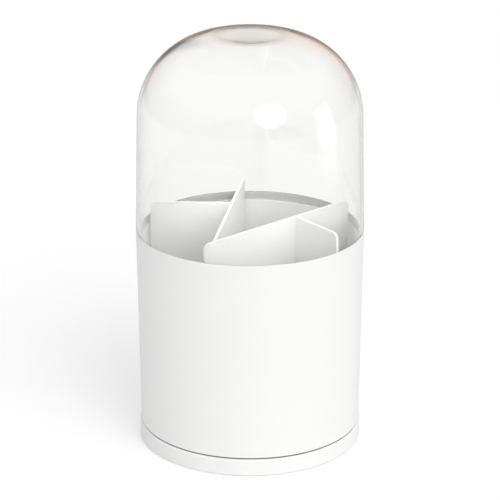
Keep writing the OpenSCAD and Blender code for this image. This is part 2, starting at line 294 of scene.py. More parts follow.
def lathe_tree():
    """Turns a half section, drawn as a line of points in the XZ plane, once round the Z axis."""
    kinds = {"Steps": "Int", "Join Distance": "Float", "Sharp Angle": "Float", "Material": "Material"}
    tree, given = shape_tree("turned_section", kinds)
    section = given["Geometry"]
    steps = given["Steps"]
    count = add(tree, "GeometryNodeAttributeDomainSize", {"Geometry": section}).outputs["Point Count"]
    columns = add(tree, "FunctionNodeIntegerMath", {0: steps, 1: 1}, operation="ADD").outputs[0]
    grid = add(tree, "GeometryNodeMeshGrid", {"Vertices X": columns, "Vertices Y": count})
    index = add(tree, "GeometryNodeInputIndex").outputs[0]
    column = add(tree, "FunctionNodeIntegerMath", {0: index, 1: count}, operation="DIVIDE_FLOOR")
    row = add(tree, "FunctionNodeIntegerMath", {0: index, 1: count}, operation="MODULO")
    place = add(tree, "GeometryNodeInputPosition").outputs[0]
    inputs = {"Geometry": section, "Value": place, "Index": row.outputs[0]}
    point = add(tree, "GeometryNodeSampleIndex", inputs, data_type="FLOAT_VECTOR").outputs[0]
    parts = add(tree, "ShaderNodeSeparateXYZ", {0: point}).outputs
    angle = product(tree, maths(tree, "DIVIDE", column.outputs[0], steps), TURN)
    turned_x = product(tree, parts["X"], maths(tree, "COSINE", angle))
    turned_y = product(tree, parts["X"], maths(tree, "SINE", angle))
    spot = add(tree, "ShaderNodeCombineXYZ", {0: turned_x, 1: turned_y, 2: parts["Z"]}).outputs[0]
    inputs = {"Geometry": grid.outputs["Mesh"], "Position": spot}
    moved = add(tree, "GeometryNodeSetPosition", inputs).outputs[0]
    inputs = {"Geometry": moved, "Distance": given["Join Distance"]}
    joined = add(tree, "GeometryNodeMergeByDistance", inputs).outputs[0]
    smooth = add(tree, "GeometryNodeSetShadeSmooth", {"Geometry": joined}, domain="FACE")
    bend = add(tree, "GeometryNodeInputMeshEdgeAngle").outputs[0]
    sharp = maths(tree, "GREATER_THAN", bend, given["Sharp Angle"])
    inputs = {"Geometry": smooth.outputs[0], "Selection": sharp, "Shade Smooth": False}
    creased = add(tree, "GeometryNodeSetShadeSmooth", inputs, domain="EDGE")
    return close_tree(tree, given, creased.outputs[0])


def ring_tree():
    """Repeats one item, made in its first place, evenly round the Z axis."""
    kinds = {"Count": "Int", "First Angle": "Float", "Material": "Material"}
    tree, given = shape_tree("ring_of_items", kinds)
    count = given["Count"]
    points = add(tree, "GeometryNodePoints", {"Count": count})
    index = add(tree, "GeometryNodeInputIndex").outputs[0]
    step = product(tree, maths(tree, "DIVIDE", index, count), TURN)
    angle = maths(tree, "ADD", step, given["First Angle"])
    turn = add(tree, "ShaderNodeCombineXYZ", {"Z": angle}).outputs[0]
    inputs = {"Points": points.outputs[0], "Instance": given["Geometry"], "Rotation": turn}
    items = add(tree, "GeometryNodeInstanceOnPoints", inputs)
    return close_tree(tree, given, items.outputs["Instances"])


def joint_tree():
    """Unites overlapping closed solids of one mesh into a single moulding."""
    tree, given = shape_tree("joined_moulding", {"Material": "Material"})
    inputs = {"Mesh 2": given["Geometry"], "Self Intersection": True}
    union = add(tree, "GeometryNodeMeshBoolean", inputs, operation="UNION", solver="EXACT")
    return close_tree(tree, given, union.outputs["Mesh"])


def shape_by(obj, name, **inputs):
    """Runs a tree on an object with the inputs named here, and keeps what it makes as plain mesh."""
    makers = {"turned_section": lathe_tree, "ring_of_items": ring_tree, "joined_moulding": joint_tree}
    tree = bpy.data.node_groups.get(name) or makers[name]()
    modifier = obj.modifiers.new(name, "NODES")
    modifier.node_group = tree
    for item in tree.interface.items_tree:
        key = item.name.lower().replace(" ", "_")
        if item.in_out == "INPUT" and key in inputs:
            modifier[item.identifier] = inputs[key]
    return settle_mesh(obj)


# Meshes


def settle_mesh(obj):
    """Turns what an object's modifiers show into its own plain mesh."""
    bpy.context.view_layer.update()
    graph = bpy.context.evaluated_depsgraph_get()
    made = bpy.data.meshes.new_from_object(
        obj.evaluated_get(graph), preserve_all_data_layers=True, depsgraph=graph
    )
    if not made.polygons:
        raise RuntimeError(f"{obj.name} came out empty")
    obj.modifiers.clear()
    old = obj.data
    obj.data = made
    bpy.data.meshes.remove(old)
    made.name = obj.name
    return obj


def new_object(name, mesh):
    """A new object in the scene."""
    obj = bpy.data.objects.new(name, mesh)
    bpy.context.scene.collection.objects.link(obj)
    return obj


def line_object(name, points):
    """An object that holds a line of (radius, height) points in the XZ plane."""
    mesh = bpy.data.meshes.new(name)
    mesh.from_pydata([(x, 0, z) for x, z in points], [(i, i + 1) for i in range(len(points) - 1)], [])
    return new_object(name, mesh)


def outward(obj):
    """Turns the faces of a closed mesh outwards."""
    shape = bmesh.new()
    shape.from_mesh(obj.data)
    bmesh.ops.recalc_face_normals(shape, faces=shape.faces)
    if shape.calc_volume(signed=True) < 0:
        bmesh.ops.reverse_faces(shape, faces=shape.faces)
    shape.to_mesh(obj.data)
    shape.free()
    return obj


def turned(name, section, material, steps=None):
    """A piece turned from its half section."""
    obj = line_object(name, section)
    shape_by(
        obj,
        "turned_section",
        steps=steps or sizes().round_steps,
        join_distance=JOIN_DISTANCE,
        sharp_angle=SHARP_ANGLE,
        material=material,
    )
    return outward(obj)


def ring_of(obj, count, material, first_angle=0.0):
    """Repeats an item round the centre."""
    return shape_by(obj, "ring_of_items", count=count, first_angle=first_angle, material=material)


def arc(centre, radius, start, end, longest=2.4 * MM, finest=radians(5)):
    """Points along an arc in the section plane, both ends included."""
    count = max(2, ceil(abs(end - start) / finest), ceil(abs(end - start) * radius / longest))
    angles = [start + (end - start) * i / count for i in range(count + 1)]
    return [(centre[0] + radius * cos(a), centre[1] + radius * sin(a)) for a in angles]


def softened(corners, longest=6 * MM, guard=0.5 * MM):
    """A line through (x, z) or (x, z, radius) corners, rounded there, with long runs divided."""
    line = []
    for i, corner in enumerate(corners):
        here = Vector(corner[:2])
        radius = corner[2] if len(corner) > 2 else 0.0
        if not radius or i in (0, len(corners) - 1):
            line.append(here)
            continue
        back = (Vector(corners[i - 1][:2]) - here).normalized()
        ahead = (Vector(corners[i + 1][:2]) - here).normalized()
        half = back.angle(ahead) / 2
        middle = here + (back + ahead).normalized() * radius / sin(half)
        first = here + back * radius / tan(half) - middle
        last = here + ahead * radius / tan(half) - middle
        sweep = atan2(first.cross(last), first.dot(last))
        for k in range(CORNER_STEPS + 1):
            line.append(middle + Matrix.Rotation(sweep * k / CORNER_STEPS, 2) @ first)
    spread = [line[0]]
    for here, there in zip(line, line[1:]):
        run = (there - here).length
        if run > 3 * guard:
            inner = [guard / run]
            pieces = max(1, ceil((run - 2 * guard) / longest))
            inner += [(guard + (run - 2 * guard) * k / pieces) / run for k in range(1, pieces + 1)]
            spread += [here.lerp(there, t) for t in inner]
        if run > SAME_POINT:
            spread.append(there)
    return [tuple(p) for p in spread]


def moved_out(obj, distance):
    """Moves a mesh out from the centre, along +X."""
    obj.data.transform(Matrix.Translation((distance, 0, 0)))


def cut_away(obj, cutter):
    """Takes the cutter out of the object and removes the cutter."""
    modifier = obj.modifiers.new("cut", "BOOLEAN")
    modifier.operation = "DIFFERENCE"
    modifier.solver = "EXACT"
    modifier.object = cutter
    settle_mesh(obj)
    obj.data.set_sharp_from_angle(angle=SHARP_ANGLE)
    bpy.data.objects.remove(cutter)


def rounded_edges(obj, width, segments=2):
    """Rounds the sharp edges of a moulding."""
    modifier = obj.modifiers.new("edge", "BEVEL")
    modifier.width = width
    modifier.segments = segments
    modifier.limit_method = "ANGLE"
    modifier.angle_limit = BEVEL_ANGLE
    modifier.miter_outer = "MITER_ARC"
    settle_mesh(obj)
    for polygon in obj.data.polygons:
        polygon.use_smooth = True
    normals = obj.modifiers.new("normals", "WEIGHTED_NORMAL")
    normals.keep_sharp = True
    normals.weight = 100
    return settle_mesh(obj)


def prism(name, outline, low, high, place):
    """A closed slab: an outline of (x, z) points, between two y values, moved by a matrix."""
    mesh = bpy.data.meshes.new(name)
    count = len(outline)
    points = [(x, y, z) for y in (low, high) for x, z in outline]
    sides = [(i, (i + 1) % count, count + (i + 1) % count, count + i) for i in range(count)]
    mesh.from_pydata(points, [], sides + [tuple(range(count))[::-1], tuple(range(count, 2 * count))])
    mesh.transform(place)
    return outward(new_object(name, mesh))


def joined(name, objects):
    """One object that holds the meshes of several."""
    shape = bmesh.new()
    for obj in objects:
        shape.from_mesh(obj.data)
        bpy.data.objects.remove(obj)
    mesh = bpy.data.meshes.new(name)
    shape.to_mesh(mesh)
    shape.free()
    return new_object(name, mesh)


def finished(obj, body, slot, *nodes):
    """Lets a piece ride on its body and hides the CAD nodes it stands for. The slot is not used."""
    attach(obj, body)
    if nodes:
        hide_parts(*nodes)


# Finishes


def finish_tree(name):
    """An empty material with its Principled shader, its output and its Object coordinates."""
    material = bpy.data.materials.new(name)
    material.use_nodes = True
    tree = material.node_tree
    tree.nodes.clear()
    shader = add(tree, "ShaderNodeBsdfPrincipled")
    output = add(tree, "ShaderNodeOutputMaterial", {"Surface": shader.outputs[0]})
    where = add(tree, "ShaderNodeTexCoord").outputs["Object"]
    return material, tree, shader, output, where


def noise(tree, where, scale, detail, roughness=0.5, stretch=None):
    """Noise of that many cells to the metre, between nought and one."""
    if stretch:
        where = add(tree, "ShaderNodeMapping", {"Vector": where, "Scale": stretch}).outputs[0]
    inputs = {"Vector": where, "Scale": scale, "Detail": detail, "Roughness": roughness}
    return add(tree, "ShaderNodeTexNoise", inputs).outputs["Fac"]


def between(tree, value, low, high, start=0.0, end=1.0):
    """A value of start to end, as low to high."""
    inputs = {"Value": value, "From Min": start, "From Max": end, "To Min": low, "To Max": high}
    return add(tree, "ShaderNodeMapRange", inputs).outputs["Result"]


def rising(tree, value, edge, top=1.0):
    """Nought before an edge, given as its start and end, and the top value past it."""
    return between(tree, value, 0, top, *edge)


def falling(tree, value, edge):
    """One before an edge, and nought past it."""
    return between(tree, value, 1, 0, *edge)


def mixed(tree, factor, a, b):
    """A colour between two, each an output or a plain colour."""
    made = add(tree, "ShaderNodeMix", {"Factor": factor}, data_type="RGBA")
    for key, value in ((6, a), (7, b)):
        feed(tree, made, {key: value if isinstance(value, bpy.types.NodeSocket) else (*value, 1.0)})
    return made.outputs[2]


def bumps(tree, height, strength, distance):
    """A normal bent by a height."""
    inputs = {"Height": height, "Strength": strength, "Distance": distance}
    return add(tree, "ShaderNodeBump", inputs).outputs["Normal"]


def shaded(base, by):
    """A colour made lighter or darker."""
    return tuple(min(1.0, c * by) for c in base)


def satin_white(tree, shader, _, where):
    """White moulded plastic with a fine satin grain and faint flow shading."""
    white = colours().white
    flow = noise(tree, where, 22, 3, stretch=(1, 1, 0.35))
    grain = noise(tree, where, 2600, 2)
    polish = noise(tree, where, 160, 4, 0.6)
    tone = mixed(tree, rising(tree, flow, (0.3, 0.7)), shaded(white, 0.992), shaded(white, 1.008))
    rough = between(tree, polish, 0.4, 0.5, 0.25, 0.75)
    normal = bumps(tree, grain, 0.08, 0.04 * MM)
    feed(tree, shader, {"Base Color": tone, "Roughness": rough, "IOR": 1.5, "Normal": normal})


def clear_plastic(tree, shader, output, where):
    """Clear moulded plastic: walls that bend light, faint waves, and a trace of tint."""
    wave = noise(tree, where, 14, 1)
    polish = noise(tree, where, 90, 3)
    rough = rising(tree, polish, (0.3, 0.7), 0.02)
    normal = bumps(tree, wave, 0.02, 0.6 * MM)
    feed(tree, shader, {"Base Color": (*colours().clear, 1), "Transmission Weight": 1.0, "IOR": 1.49})
    feed(tree, shader, {"Roughness": rough, "Normal": normal})
    lamp = add(tree, "ShaderNodeBsdfTransparent", {"Color": (0.965, 0.965, 0.965, 1)})
    path = add(tree, "ShaderNodeLightPath")
    ends = {0: path.outputs["Is Shadow Ray"], 1: shader.outputs[0], 2: lamp.outputs[0]}
    lets_through = add(tree, "ShaderNodeMixShader", ends)
    tint = add(tree, "ShaderNodeVolumeAbsorption", {"Color": (0.80, 0.775, 0.745, 1), "Density": 14.0})
    feed(tree, output, {"Surface": lets_through.outputs[0], "Volume": tint.outputs[0]})


def natural_plastic(tree, shader, _, where):
    """Unpigmented waxy plastic of the bearing parts, with fine turning marks."""
    natural = colours().natural
    cloud = noise(tree, where, 60, 3)
    grain = noise(tree, where, 1500, 2)
    tone = mixed(tree, rising(tree, cloud, (0.3, 0.7)), shaded(natural, 0.95), shaded(natural, 1.04))
    rough = between(tree, cloud, 0.34, 0.5)
    normal = bumps(tree, grain, 0.12, 0.05 * MM)
    feed(tree, shader, {"Base Color": tone, "Roughness": rough, "IOR": 1.51, "Normal": normal})


def bright_steel(tree, shader, _, where):
    """Plated steel with fine scratches and slightly uneven brightness."""
    steel = colours().steel
    cloud = noise(tree, where, 400, 3)
    scratch = noise(tree, where, 900, 2, stretch=(1, 1, 12))
    tone = mixed(tree, cloud, shaded(steel, 0.9), shaded(steel, 1.08))
    rough = between(tree, scratch, 0.16, 0.34)
    normal = bumps(tree, scratch, 0.06, 0.03 * MM)
    feed(tree, shader, {"Base Color": tone, "Metallic": 1.0, "Roughness": rough, "Normal": normal})


def pad_rubber(tree, shader, _, where):
    """Soft grey pad with a fine pebbled face."""
    grey = colours().pads
    cells = add(tree, "ShaderNodeTexVoronoi", {"Vector": where, "Scale": 1400})
    cloud = noise(tree, where, 260, 3)
    tone = mixed(tree, cloud, shaded(grey, 0.9), shaded(grey, 1.08))
    rough = between(tree, cloud, 0.7, 0.9)
    normal = bumps(tree, cells.outputs["Distance"], 0.35, 0.12 * MM)
    feed(tree, shader, {"Base Color": tone, "Roughness": rough, "Normal": normal})


def finish(name):
    """The material of that name, built when first asked for."""
    makers = {
        "satin_white_plastic": satin_white,
        "clear_lid_plastic": clear_plastic,
        "natural_waxy_plastic": natural_plastic,
        "plated_steel": bright_steel,
        "grey_pad_rubber": pad_rubber,
    }
    material = bpy.data.materials.get(name)
    if not material:
        material, tree, *rest = finish_tree(name)
        makers[name](tree, *rest)
        tidy(tree)
    return material


def paint(node, name):
    """Gives a CAD node's material slots one of the finishes."""
    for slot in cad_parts[node].material_slots:
        slot.material = finish(name)


# Sections


def bucket_foot():
    """Height of the bucket's bottom edge."""
    return sizes().base_height + sizes().seam


def bucket_radius(z):
    """Outer radius of the tapered bucket at a height."""
    s = sizes()
    return s.rim_radius - s.taper * (s.rim_height - z) / (s.rim_height - bucket_foot())


def bucket_section():
    """Half section of the bucket: floor, inner wall, rebate, rim, outer wall and the space below."""
    s = sizes()
    foot = bucket_foot()
    edge = s.seam_edge
    inner_foot = bucket_radius(s.floor_top) - s.wall
    inner_top = s.rim_radius - s.wall
    rebate_z = s.rim_height - s.lap_depth - LAP_BELOW
    share_up = (rebate_z - s.floor_top) / (s.rim_height - s.floor_top)
    at_rebate = inner_foot + (inner_top - inner_foot) * share_up
    rebate_r = s.rim_radius - s.lid_wall / cos(s.lid_draft) + s.lap_thickness + LAP_PLAY
    under = s.floor_top - s.floor_thickness
    skirt_in = bucket_radius(foot) - s.wall
    return softened(
        [
            (0, s.floor_top),
            (inner_foot, s.floor_top, 2 * MM),
            (at_rebate, rebate_z, 0.2 * MM),
            (rebate_r, rebate_z, 0.15 * MM),
            (rebate_r, s.rim_height, 0.2 * MM),
            (s.rim_radius, s.rim_height, edge),
            (bucket_radius(foot), foot, 0.5 * MM),
            (skirt_in, foot, edge),
            (skirt_in, under, 0.5 * MM),
            (0, under),
        ]
    )


def crown_apex():
    """Height of the outer crown arc over the centre, above the rim."""
    s = sizes()
    x = s.rim_radius - s.lid_straight * tan(s.lid_draft) - s.shoulder_radius * cos(s.lid_draft)
    z = s.lid_straight - s.shoulder_radius * sin(s.lid_draft)
    return z - sqrt((s.crown_radius - s.shoulder_radius) ** 2 - x**2) + s.crown_radius


def dome_line(foot_r, shoulder_r, crown_r, apex, ring, steep):
    """Half section of one face of the dome, from the foot of its wall to the axis, in tangent arcs."""
    s = sizes()
    draft, edge_r = s.lid_draft, s.dimple_edge
    crown_z = apex - crown_r
    lean, reach = tan(draft), foot_r - shoulder_r / cos(draft)
    half = (reach * lean + crown_z) / (1 + lean**2)
    rest = (reach**2 + crown_z**2 - (crown_r - shoulder_r) ** 2) / (1 + lean**2)
    centre_z = half + sqrt(half**2 - rest)
    centre_x = reach - centre_z * lean
    crown_from = atan2(centre_z - crown_z, centre_x)
    edge_z = crown_z + sqrt((crown_r - edge_r) ** 2 - ring**2)
    into_edge = atan2(edge_z - crown_z, ring)
    dish_r = ring / sin(steep) - edge_r
    dish_z = edge_z + (dish_r + edge_r) * cos(steep)
    shoulder = arc((centre_x, centre_z), shoulder_r, draft, crown_from)
    crown = arc((0, crown_z), crown_r, crown_from, into_edge)
    edge = arc((ring, edge_z), edge_r, into_edge, pi / 2 + steep, 0.8 * MM)
    dimple = arc((0, dish_z), dish_r, steep - pi / 2, -pi / 2, 1.6 * MM)
    start = 1 * MM
    count = ceil((s.lid_straight - 2 * start) / (5 * MM))
    top_z = shoulder[0][1]
    heights = [start + (top_z - start) * i / count for i in range(count)]
    wall = [(foot_r - z * lean, z) for z in heights]
    line = wall + shoulder + crown[1:] + edge[1:] + dimple[1:]
    line[-1] = (0.0, line[-1][1])
    return [(x, s.rim_height + z) for x, z in line]


def lid_section():
    """Half section of the lid: outer dome, step at its foot, lapping skirt and inner dome."""
    s = sizes()
    apex = crown_apex()
    outer = dome_line(
        s.rim_radius, s.shoulder_radius, s.crown_radius, apex, s.dimple_ring, s.dimple_slope
    )
    lap_in = s.rim_radius - s.lid_wall / cos(s.lid_draft)
    inner = dome_line(
        lap_in,
        s.shoulder_inside,
        s.crown_radius - s.lid_wall,
        apex - s.crown_wall,
        s.dimple_ring - s.dimple_shift,
        s.dimple_slope_inside,
    )
    lap_out = lap_in + s.lap_thickness
    rest = s.rim_height + LID_ABOVE
    tip = s.rim_height - s.lap_depth
    foot = softened(
        [
            outer[0],
            (s.rim_radius, rest, 0.25 * MM),
            (lap_out, rest, 0.15 * MM),
            (lap_out, tip, 0.25 * MM),
            (lap_in, tip, 0.25 * MM),
            inner[0],
        ]
    )
    return outer[::-1] + foot[1:-1] + inner


def base_section():
    """Closed half section of the base: hub with its bore, ball track, dish and rounded rim."""
    s = sizes()
    low = BASE_FOOT.z
    floor = low + s.base_floor
    edge = s.seam_edge
    half, groove, face = 4 * MM, 2.05 * MM, 3.9 * MM
    hub_top, hub_r, bore, land, well = 5.7 * MM, 12 * MM, 5.06 * MM, 4 * MM, 8.5 * MM
    inner = s.base_radius - s.base_wall
    reach = sqrt(groove**2 - (BALL_HEIGHT - face) ** 2)
    dip = atan2(face - BALL_HEIGHT, -reach)
    points = softened(
        [
            (bore, land),
            (bore, hub_top, 0.2 * MM),
            (hub_r, hub_top, edge),
            (hub_r, floor, 0.5 * MM),
            (TRACK_RADIUS - half, floor, edge),
            (TRACK_RADIUS - half, face, edge),
            (TRACK_RADIUS - reach, face),
        ]
    )
    points += arc((TRACK_RADIUS, BALL_HEIGHT), groove, dip, -pi - dip, 0.5 * MM, radians(12))[1:]
    points += softened(
        [
            (TRACK_RADIUS + reach, face),
            (TRACK_RADIUS + half, face, edge),
            (TRACK_RADIUS + half, floor, edge),
            (inner, floor, 1 * MM),
            (inner, s.base_height, edge),
            (s.base_radius, s.base_height, 1.2 * MM),
            (s.base_radius, low, 0.3 * MM),
            (well, low, edge),
            (well, land, edge),
            (bore, land),
        ]
    )[1:]
    return points


# Panels of the divider


def panel_lines():
    """The divider's panels seen from above: start, direction, length, and whether each end is free."""
    s = sizes()
    ring = bucket_radius(s.floor_top) - s.wall - WALL_PLAY

    def heading(degrees):
        return Vector((cos(radians(degrees)), sin(radians(degrees))))

    def on_wall(degrees):
        return heading(degrees - 90) * ring

    def to_wall(start, way):
        return -start.dot(way) + sqrt(start.dot(way) ** 2 - start.dot(start) + ring**2)

    long_start, long_way = on_wall(LONG_FROM), heading(LONG_HEADING)
    right_start, right_way = on_wall(RIGHT_FROM), heading(RIGHT_HEADING)
    back_start, back_way = long_start + long_way * BACK_ALONG, heading(BACK_HEADING)
    side_start, side_way = back_start + back_way * SIDE_ALONG, heading(SIDE_HEADING)
    to_long = (long_start - right_start).cross(long_way) / right_way.cross(long_way)
    return [
        (long_start, long_way, to_wall(long_start, long_way), True, True),
        (right_start, right_way, to_long, True, False),
        (back_start, back_way, to_wall(back_start, back_way), False, True),
        (side_start, side_way, to_wall(side_start, side_way), False, True),
    ]


def panel_outline(run, free_start, free_end):
    """Outline of a panel in its own plane, with rounded top corners and cut feet at its free ends."""
    s = sizes()
    low, high, r, cut = s.floor_top, s.panel_top, s.panel_corner, 2.5 * MM
    points = [(0, low + cut), (cut, low)] if free_start else [(0, low)]
    if free_end:
        points += [(run - cut, low), (run, low + cut)]
        points += arc((run - r, high - r), r, 0, pi / 2, longest=1, finest=radians(9))
    else:
        points += [(run, low), (run, high)]
    if free_start:
        points += arc((r, high - r), r, pi / 2, pi, longest=1, finest=radians(9))
    else:
        points += [(0, high)]
    return points


def along(start, way):
    """The matrix that lays a piece drawn along +X from the origin at a start, in a direction."""
    turn = Matrix.Rotation(atan2(way.y, way.x), 4, "Z")
    return Matrix.Translation((start.x, start.y, 0)) @ turn


# Light


def towards(right, up):
    """The direction from the organizer so many degrees to the right of the front, and up."""
    right, up = radians(right), radians(up)
    return Vector((sin(right) * cos(up), -cos(right) * cos(up), sin(up)))


def glowing(tree, light, strength):
    """A surface that gives off light."""
    return add(tree, "ShaderNodeEmission", {"Color": (*light, 1), "Strength": strength}).outputs[0]


def passing(tree, gloss):
    """One for rays that met no dull surface, and were turned by gloss or by clear pieces only."""
    path = add(tree, "ShaderNodeLightPath").outputs
    clear = maths(tree, "MAXIMUM", path["Is Transmission Ray"], path["Is Glossy Ray"])
    undulled = maths(tree, "LESS_THAN", path["Diffuse Depth"], 0.5)
    by_gloss = maths(tree, "GREATER_THAN" if gloss else "LESS_THAN", path["Glossy Depth"], 0.5)
    return product(tree, clear, undulled, by_gloss)


def seen_through(tree):
    """One for rays that show the background, straight or through clear pieces."""
    camera_ray = add(tree, "ShaderNodeLightPath").outputs["Is Camera Ray"]
    return maths(tree, "MAXIMUM", camera_ray, passing(tree, False))


def in_gloss(tree):
    """One for rays that show what gloss mirrors."""
    return passing(tree, True)


# Operators


class ORGANIZER_OT_bucket(Operator):
    """Builds the bucket: its turned shell, the ribs and bosses under its floor and the rails on it"""

    bl_idname = "organizer.bucket"
    bl_label = "Bucket"

    def execute(self, context):
        s = sizes()
        white = finish("satin_white_plastic")
        finished(turned("bucket_shell", bucket_section(), white), "turntable", "white_shell", "bucket")
        under = s.floor_top - s.floor_thickness + HAIR
        seat = PLATE_TOP + HAIR
        half, hub, bore, boss_r = 0.9 * MM, 7 * MM, 1.55 * MM, 4 * MM
        inside, outside = TRACK_RADIUS - half, TRACK_RADIUS + half
        edge = 0.2 * MM
        corners = [(inside, under), (inside, seat, edge), (outside, seat, edge), (outside, under)]
        ring = softened([*corners, corners[0]])
        finished(turned("floor_ring_rib", ring, white, 96), "turntable", "white_shell")
        outline = [(hub, seat), (inside, seat), (inside, under), (hub, under)]
        rib = rounded_edges(prism("floor_ribs", outline, -half, half, Matrix.Identity(4)), edge)
        finished(ring_of(rib, 8, white), "turntable", "white_shell")
        corners = [(bore, under), (bore, seat), (boss_r, seat, 0.3 * MM), (boss_r, under)]
        boss = turned("screw_bosses", softened([*corners, corners[0]]), white, 32)
        moved_out(boss, SCREW_RING)
        finished(ring_of(boss, 4, white, radians(45)), "turntable", "white_shell")
        self.rails(white)
        return {"FINISHED"}

    def rails(self, white):
        """The pairs of low rails that hold the panel ends."""
        s = sizes()
        gap = s.panel_thickness / 2 + RAIL_PLAY
        low, high = s.floor_top - 0.2 * MM, s.floor_top + 3 * MM
        near_end, far_end, rail = 1.5 * MM, 6 * MM, 1.2 * MM
        outline = [(near_end, low), (far_end, low), (far_end, high), (near_end, high)]
        rails = []
        for start, way, run, free_start, free_end in panel_lines():
            ends = [(start, way)] if free_start else []
            if free_end:
                ends.append((start + way * run, -way))
            for at, inward in ends:
                for side in (-1, 1):
                    near, far = sorted((side * gap, side * (gap + rail)))
                    rails.append(prism("rail", outline, near, far, along(at, inward)))
        piece = joined("floor_rails", rails)
        piece.data.materials.append(white)
        rounded_edges(piece, 0.2 * MM)
        finished(piece, "turntable", "white_shell")


class ORGANIZER_OT_lid(Operator):
    """Builds the clear dome lid with its thumb dimple and lapping skirt"""

    bl_idname = "organizer.lid"
    bl_label = "Clear lid"

    def execute(self, context):
        lid = turned("clear_dome", lid_section(), finish("clear_lid_plastic"))
        finished(lid, "lid", "clear_lid", "lid")
        return {"FINISHED"}


class ORGANIZER_OT_divider(Operator):
    """Builds the lift-out divider from its four joined panels"""

    bl_idname = "organizer.divider"
    bl_label = "Divider"

    def execute(self, context):
        s = sizes()
        half = s.panel_thickness / 2
        slabs = [
            prism("panel", panel_outline(run, free_start, free_end), -half, half, along(start, way))
            for start, way, run, free_start, free_end in panel_lines()
        ]
        white = finish("satin_white_plastic")
        piece = joined("divider_panels", slabs)
        shape_by(piece, "joined_moulding", material=white)
        rounded_edges(piece, 0.35 * MM, 3)
        finished(piece, "divider", "white_shell", "divider_insert")
        return {"FINISHED"}


class ORGANIZER_OT_base(Operator):
    """Builds the base dish with its hub, ball track and pad recesses"""

    bl_idname = "organizer.base"
    bl_label = "Base"

    def execute(self, context):
        white = finish("satin_white_plastic")
        base = turned("base_dish", base_section(), white)
        roof = BASE_FOOT.z + sizes().pad_depth
        corners = [(0, 0), (POCKET_RADIUS, 0), (POCKET_RADIUS, roof), (0, roof)]
        pocket = turned("pocket", corners, white, 64)
        moved_out(pocket, sizes().base_radius - PAD_INSET)
        ring_of(pocket, 6, white)
        cut_away(base, pocket)
        finished(base, "base", "white_shell", "base_plate")
        return {"FINISHED"}


class ORGANIZER_OT_pads(Operator):
    """Builds the soft pads under the base"""

    bl_idname = "organizer.pads"
    bl_label = "Foot pads"

    def execute(self, context):
        rubber = finish("grey_pad_rubber")
        top = BASE_FOOT.z + sizes().pad_depth - HAIR
        corners = [(0, 0), (PAD_RADIUS, 0, 0.25 * MM), (PAD_RADIUS, top, 0.1 * MM), (0, top)]
        pad = turned("foot_pads", softened(corners, 2 * MM, 0.3 * MM), rubber, 64)
        moved_out(pad, sizes().base_radius - PAD_INSET)
        ring_of(pad, 6, rubber)
        finished(pad, "base", "pad_rubber", *[f"foot_pad_{i}" for i in range(1, 7)])
        return {"FINISHED"}


class ORGANIZER_OT_bearing(Operator):
    """Builds the ring of steel balls and finishes the cage and the turntable plate"""

    bl_idname = "organizer.bearing"
    bl_label = "Ball bearing"

    def execute(self, context):
        steel = finish("plated_steel")
        half = arc((0, BALL_HEIGHT), BALL_RADIUS, pi / 2, -pi / 2, longest=1, finest=radians(9))
        ball = turned("bearing_balls", half, steel, 32)
        moved_out(ball, TRACK_RADIUS)
        ring_of(ball, 12, steel)
        finished(ball, "ball_ring", "steel", *[f"ball_{i}" for i in range(1, 13)])
        for node in ("ball_cage", "turntable_plate"):
            paint(node, "natural_waxy_plastic")
        return {"FINISHED"}


class ORGANIZER_OT_fasteners(Operator):
    """Builds the plate screws and the pivot screw, and finishes the washer"""

    bl_idname = "organizer.fasteners"
    bl_label = "Fasteners"

    def execute(self, context):
        steel = finish("plated_steel")
        face, tip, head_r, shank_r = 6.1 * MM, 12.8 * MM, 2.9 * MM, 1.5 * MM
        corners = [
            (0, face),
            (head_r, face, 0.15 * MM),
            (shank_r, face + 1.6 * MM, 0.2 * MM),
            (shank_r, tip, 0.4 * MM),
            (0, tip),
        ]
        screw = self.screw("plate_screw_set", corners, steel)
        moved_out(screw, SCREW_RING)
        ring_of(screw, 4, steel, radians(45))
        finished(screw, "turntable", "steel", "plate_screws")
        face, tip, head_r, shank_r = 1.05 * MM, 10.1 * MM, 3.4 * MM, 1.75 * MM
        corners = [
            (0, face),
            (0.8 * head_r, face, 0.2 * MM),
            (head_r, face + 1 * MM, 0.3 * MM),
            (head_r, face + 2 * MM, 0.1 * MM),
            (shank_r, face + 2 * MM, 0.1 * MM),
            (shank_r, tip, 0.4 * MM),
            (0, tip),
        ]
        finished(self.screw("centre_screw", corners, steel), "turntable", "steel", "pivot_screw")
        paint("pivot_washer", "plated_steel")
        return {"FINISHED"}

    def screw(self, name, corners, steel):
        """A turned screw with a cross recess in its head, which points down."""
        piece = turned(name, softened(corners, 2 * MM, 0.2 * MM), steel, 48)
        depth, half = 1.1 * MM, 0.35 * MM
        face = corners[0][1]
        reach = 0.6 * max(corner[0] for corner in corners)
        low, high = face - 1 * MM, face + depth
        outline = [(-reach, low), (reach, low), (reach, high), (-reach, high)]
        for turn in (0, pi / 2):
            cut_away(piece, prism("slot", outline, -half, half, Matrix.Rotation(turn, 4, "Z")))
        return piece


